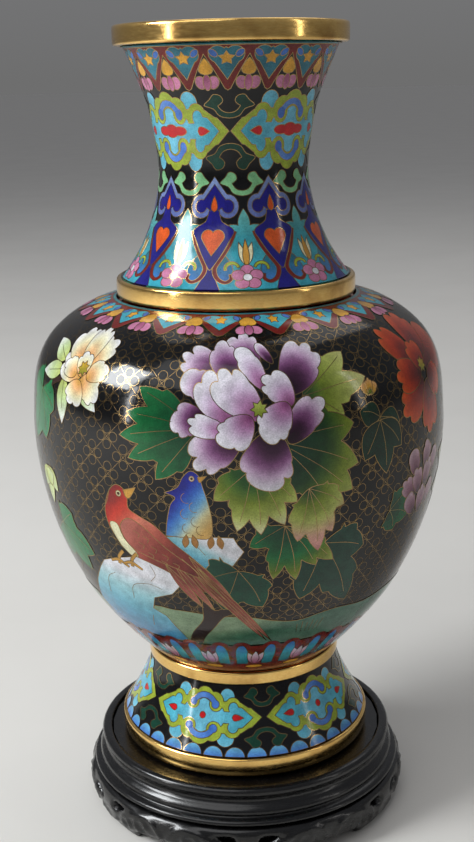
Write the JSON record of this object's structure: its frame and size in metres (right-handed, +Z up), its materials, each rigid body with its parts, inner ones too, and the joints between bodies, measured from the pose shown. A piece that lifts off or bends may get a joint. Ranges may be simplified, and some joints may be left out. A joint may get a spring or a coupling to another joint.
{
  "type": "cloisonne vase on a stand",
  "caption": "Baluster vase of enamelled copper with flared neck, gilt rings and spreading foot, lifting off a round carved black wooden stand.",
  "frame": {"origin": "centre of the stand's underside, on the surface it stands on", "axes": "+Z up along the vase's axis; -Y is the front shown in the picture"},
  "size_m": [0.145, 0.145, 0.28],
  "materials": {
    "gilt": "gilded, satin",
    "copper": "hammered copper sheet",
    "enamel": "polished fired enamel with inlaid brass wires",
    "counter_enamel": "fired, unpolished",
    "lacquered_wood": "black lacquer"
  },
  "bodies": {
    "stand": {"stand_frame": "lacquered_wood", "stand_panel": "lacquered_wood", "stand_apron": "lacquered_wood"},
    "vase": {"rim_ring": "gilt", "neck_shell": "copper", "neck_enamel": "enamel", "collar_ring": "gilt", "shoulder_shell": "copper", "shoulder_enamel": "enamel", "belly_shell": "copper", "belly_enamel": "enamel", "inner_lining": "counter_enamel", "waist_ring": "gilt", "foot_shell": "copper", "foot_enamel": "enamel", "foot_ring": "gilt", "base_plate": "counter_enamel"}
  },
  "joints": [
    {"name": "vase_lift", "type": "slide", "parent": "stand", "child": "vase", "axis": [0, 0, 1], "range_m": [0, 0.05]}
  ]
}
